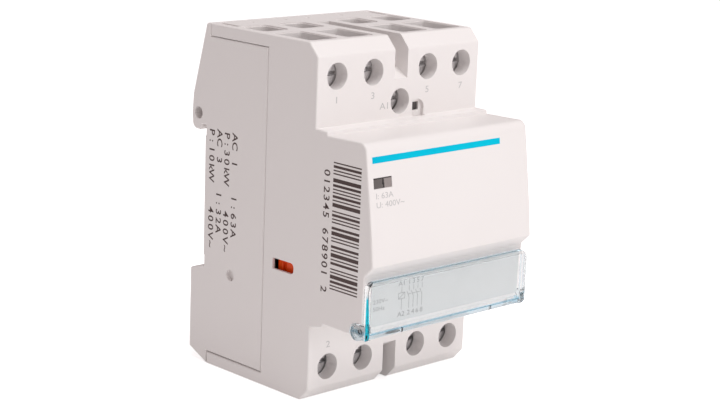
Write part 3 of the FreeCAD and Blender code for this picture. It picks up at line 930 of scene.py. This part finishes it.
class CONTACTOR_OT_clamps(bpy.types.Operator):
    """Screws and cages of the main and coil terminals"""

    bl_idname = "contactor.clamps"
    bl_label = "Clamps"

    cage_shade = 0.85

    def execute(self, context):
        metals = context.scene.contactor_metals
        zinc = metal("Zinc plated steel", tuple(metals.zinc), roughness=0.38)
        cage = metal("Cage steel", darkened(metals.zinc, self.cage_shade), roughness=0.34)
        for row in ROWS:
            for i in range(len(POLES)):
                finish_solid(f"screw_{row}_{i + 1}", zinc)
                finish_solid(f"cage_{row}_{i + 1}", cage, metals.edge)
            finish_solid("coil_screw_" + row, zinc)
            finish_solid("coil_cage_" + row, cage, metals.edge)
        return {"FINISHED"}


class CONTACTOR_OT_conductors(bpy.types.Operator):
    """Fixed strips and moving bridges with silver tips"""

    bl_idname = "contactor.conductors"
    bl_label = "Conductors"

    def execute(self, context):
        metals = context.scene.contactor_metals
        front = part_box("strip_top_1")[0].y
        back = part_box("contact_bridge_1")[1].y
        fixed = metal("Strip copper", tip_tint(metals, front - MM, front + TIP_DEPTH))
        moving = metal("Bridge copper", tip_tint(metals, back - TIP_DEPTH, back + MM))
        for i in range(len(POLES)):
            for row in ROWS:
                finish_solid(f"strip_{row}_{i + 1}", fixed, metals.edge)
            finish_solid(f"contact_bridge_{i + 1}", moving, metals.edge)
        for row in ROWS:
            finish_solid("coil_strip_" + row, fixed, metals.edge / 2)
        return {"FINISHED"}


class CONTACTOR_OT_carrier(bpy.types.Operator):
    """Orange carrier, its state flag, every spring and the small test contact, darkened as painted
    shade
    """

    bl_idname = "contactor.carrier"
    bl_label = "Carrier and springs"

    # Left and right field of the flag and the divider, then the test contact, a metal tongue whose
    # near-black colour is painted shade for the deep recess: its colour, two corners in
    # millimetres and rounding
    flag_fields = ((0.42, 0.38, 0.36), (0.75, 0.72, 0.70), (0.05, 0.04, 0.04))
    contact_painted_shade = (0.10, 0.09, 0.09)
    shade_contact_low = (4.62, -38.5, 24.22)
    shade_contact_high = (6.98, -37.05, 26.18)
    shade_contact_edge = 0.12 * MM

    def execute(self, context):
        plastics = context.scene.contactor_plastics
        orange = moulded(
            "Orange plastic",
            tuple(plastics.driver),
            roughness=0.35,
            relief=0.15,
            Specular_IOR_Level=0.25,
        )
        finish_solid("contact_carrier", orange, plastics.edge)
        flag = moulded("Flag plastic", two_fields("state_flag", *self.flag_fields), roughness=0.4)
        finish_solid("state_flag", flag, plastics.edge / 2)
        self.springs(context.scene.contactor_metals)
        # The test contact is a metal tongue coloured near black as painted shade for the deep
        # recess
        self.test_contact_with_shade(metal("Test contact steel, painted shade", self.contact_painted_shade, roughness=0.45))
        return {"FINISHED"}

    def springs(self, metals):
        """Every spring, listed with the joint that squeezes it and its end that stays, and the
        pin.
        """
        steel = metal(
            "Spring steel", tuple(metals.spring), mottle=0.08, grain=2500.0, roughness=0.22
        )
        rows = [(f"contact_spring_{i + 1}", f"bridge_{i + 1}_slide", 0) for i in range(len(POLES))]
        rows += [("return_springs", "carrier_slide", 1), ("rail_clip_spring", "clip_slide", 0)]
        for name, joint, fixed_end in rows:
            compress(finish_solid(name, steel))
        finish_solid("armature_pin", steel)

    def test_contact_with_shade(self, steel):
        """Metal tongue at the bottom of the small test recess by the coil terminal, near black as
        painted shade.
        """
        bm = bmesh.new()
        add_box(bm, self.shade_contact_low, self.shade_contact_high)
        bmesh.ops.bevel(
            bm,
            geom=bm.edges[:],
            offset=self.shade_contact_edge,
            affect="EDGES",
            segments=2,
            profile=0.5,
            material=-1,
        )
        add_piece("test_contact_with_shade", bm, "housing", steel)


class CONTACTOR_OT_magnet(bpy.types.Operator):
    """Cores, rings, bobbin, winding and buffer"""

    bl_idname = "contactor.magnet"
    bl_label = "Magnet"

    # Winding: turns in its outer layer, how close to a cut a point counts as on it, depth of
    # the valley between two turns, and the share of its half width and half height inside
    # which nothing is pulled in
    turns = 20
    cut_reach = 1e-7
    valley_depth = 0.25 * MM
    core_share = (0.72, 0.55)
    rubber = (0.015, 0.015, 0.015)

    def execute(self, context):
        plastics = context.scene.contactor_plastics
        metals = context.scene.contactor_metals
        sheets = lamination_tint(metals.core)
        core = metal("Laminated steel", sheets, mottle=0.2, roughness=0.42)
        for name in ("fixed_core", "armature"):
            finish_solid(name, core, metals.edge)
        ring = metal("Ring copper", tuple(metals.copper))
        finish_solid("shading_rings", ring, metals.edge)
        bobbin = moulded("Bobbin nylon", tuple(plastics.bobbin), mottle=0.3, roughness=0.5)
        finish_solid("coil_bobbin", bobbin, plastics.edge)
        rubber = moulded("Buffer rubber", self.rubber, mottle=0.4, relief=0.5, roughness=0.8)
        finish_solid("core_buffer", rubber)
        wire = metal("Enamelled wire", tuple(metals.wire), roughness=0.28, Coat_Weight=0.5)
        finish_solid("coil_leads", wire)
        self.wind(wire)
        return {"FINISHED"}

    def wind(self, wire):
        """Outer layer of the winding: the solid, cut twice for each turn, with ridges."""
        low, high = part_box("coil_winding")
        pitch = (high.y - low.y) / self.turns
        bm = merged("coil_winding")
        for i in range(1, 2 * self.turns):
            cut = Vector((0, low.y + i * pitch / 2, 0))
            everything = bm.verts[:] + bm.edges[:] + bm.faces[:]
            bmesh.ops.bisect_plane(
                bm, geom=everything, dist=self.cut_reach, plane_co=cut, plane_no=(0, 1, 0)
            )
        wide, tall = self.core_share
        for vert in bm.verts:
            outside = abs(vert.co.x) > high.x * wide or abs(vert.co.z) > high.z * tall
            valley = round((vert.co.y - low.y) / pitch * 2) % 2 == 0
            if outside and valley:
                vert.co.x *= 1 - self.valley_depth / high.x
                vert.co.z *= 1 - self.valley_depth / high.z
        shade_by_angle(bm)
        piece = add_piece("coil_winding_turns", bm, body_of_node("coil_winding"), wire)
        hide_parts("coil_winding")


class CONTACTOR_OT_stage(bpy.types.Operator):
    """Pale floor, soft studio lamps and the camera"""

    bl_idname = "contactor.stage"
    bl_label = "Stage"

    # Metres: places and sizes of both lamps, half width of the floor and its drop
    key_place = (0.26, -0.92, 0.18)
    key_size = 0.50
    fill_place = (0.0, -0.28, 0.80)
    fill_size = 0.55
    floor_half = 6.0
    floor_drop = 0.02 * MM
    floor_colour = (0.93, 0.93, 0.93)
    floor_shine = 0.1

    # The floor's own glow, as it lights the object and as the camera sees it
    floor_glow = (0.12, 0.6)
    room_colour = (1.0, 0.89, 0.885, 1)

    # The point that the camera looks at, in millimetres, and its sensor's width
    aim = (14.04, -13.0, -4.94)
    sensor = 36

    def execute(self, context):
        studio = context.scene.contactor_studio
        self.floor()
        self.room(context.scene, studio.ambient)
        centre = (LOW + HIGH) / 2
        self.lamp("Key", self.key_place, studio.key, self.key_size, centre)
        self.lamp("Top fill", self.fill_place, studio.key * studio.fill, self.fill_size, centre)
        self.camera(context.scene, studio)
        context.scene.view_settings.view_transform = "Standard"
        return {"FINISHED"}

    def floor(self):
        bm = bmesh.new()
        place = Matrix.Translation((0, 0, LOW.z - self.floor_drop))
        half = self.floor_half
        bmesh.ops.create_grid(bm, x_segments=8, y_segments=8, size=half, matrix=place)
        mesh = bpy.data.meshes.new("floor")
        bm.to_mesh(mesh)
        bm.free()
        floor = bpy.data.objects.new("floor", mesh)
        bpy.context.scene.collection.objects.link(floor)
        paper = moulded(
            "Floor paper", self.floor_colour, mottle=0.01, relief=0.0, roughness=0.9
        )
        tree = paper.node_tree
        skin = tree.nodes["Principled BSDF"]
        skin.inputs["Emission Color"].default_value = (1, 1, 1, 1)
        skin.inputs["Specular IOR Level"].default_value = self.floor_shine
        seen = tree.nodes.new("ShaderNodeLightPath").outputs["Is Camera Ray"]
        glow = ramp(tree, seen, 0, 1, *self.floor_glow)
        tree.links.new(glow, skin.inputs["Emission Strength"])
        mesh.materials.append(paper)

    def room(self, scene, strength):
        world = bpy.data.worlds.new("Studio room")
        world.use_nodes = True
        back = world.node_tree.nodes["Background"]
        back.inputs["Color"].default_value = self.room_colour
        back.inputs["Strength"].default_value = strength
        scene.world = world

    def lamp(self, name, place, power, size, aim):
        """Square area lamp that faces a point."""
        data = bpy.data.lights.new(name, "AREA")
        data.energy = power
        data.size = size
        lamp = bpy.data.objects.new(name, data)
        lamp.location = place
        lamp.rotation_euler = (aim - lamp.location).to_track_quat("-Z", "Y").to_euler()
        bpy.context.scene.collection.objects.link(lamp)

    def camera(self, scene, studio):
        """Camera at a distance from its aim point, turned, raised and rolled."""
        azimuth, elevation, roll = (
            math.radians(angle) for angle in (studio.azimuth, studio.elevation, studio.roll)
        )
        back = Vector(
            (
                math.sin(azimuth) * math.cos(elevation),
                -math.cos(azimuth) * math.cos(elevation),
                math.sin(elevation),
            )
        )
        right = Vector((0, 0, 1)).cross(back).normalized()
        up = back.cross(right)
        turned_right = right * math.cos(roll) + up * math.sin(roll)
        turned_up = up * math.cos(roll) - right * math.sin(roll)
        aim = Vector(self.aim) * MM
        data = bpy.data.cameras.new("Camera")
        data.lens = studio.lens
        data.sensor_width = self.sensor
        camera = bpy.data.objects.new("Camera", data)
        turn = Matrix((turned_right, turned_up, back)).transposed().to_4x4()
        camera.matrix_world = Matrix.Translation(aim + back * studio.distance) @ turn
        scene.collection.objects.link(camera)
        scene.camera = camera


SETTINGS = {
    "contactor_plastics": ContactorPlastics,
    "contactor_prints": ContactorPrints,
    "contactor_metals": ContactorMetals,
    "contactor_studio": ContactorStudio,
}
OPERATORS = (
    CONTACTOR_OT_housings,
    CONTACTOR_OT_front_prints,
    CONTACTOR_OT_side_prints,
    CONTACTOR_OT_label,
    CONTACTOR_OT_clear_parts,
    CONTACTOR_OT_clamps,
    CONTACTOR_OT_conductors,
    CONTACTOR_OT_carrier,
    CONTACTOR_OT_magnet,
    CONTACTOR_OT_stage,
)


class CONTACTOR_PT_panel(bpy.types.Panel):
    """Lists the contactor's settings and its operators"""

    bl_idname = "CONTACTOR_PT_panel"
    bl_label = "Contactor"
    bl_space_type = "VIEW_3D"
    bl_region_type = "UI"
    bl_category = "Contactor"

    def draw(self, context):
        for name, group in SETTINGS.items():
            values = getattr(context.scene, name)
            box = self.layout.box()
            for prop in group.__annotations__:
                box.prop(values, prop)
        for operator in OPERATORS:
            self.layout.operator(operator.bl_idname)


def register():
    for cls in (*SETTINGS.values(), *OPERATORS, CONTACTOR_PT_panel):
        bpy.utils.register_class(cls)
    for name, group in SETTINGS.items():
        setattr(bpy.types.Scene, name, PointerProperty(type=group))


def unregister():
    for name in SETTINGS:
        delattr(bpy.types.Scene, name)
    for cls in (CONTACTOR_PT_panel, *reversed(OPERATORS), *SETTINGS.values()):
        bpy.utils.unregister_class(cls)


def main():
    """Build every piece and the stage."""
    register()
    for operator in OPERATORS:
        family, name = operator.bl_idname.split(".")
        getattr(getattr(bpy.ops, family), name)()


if __name__ == "__main__":
    main()
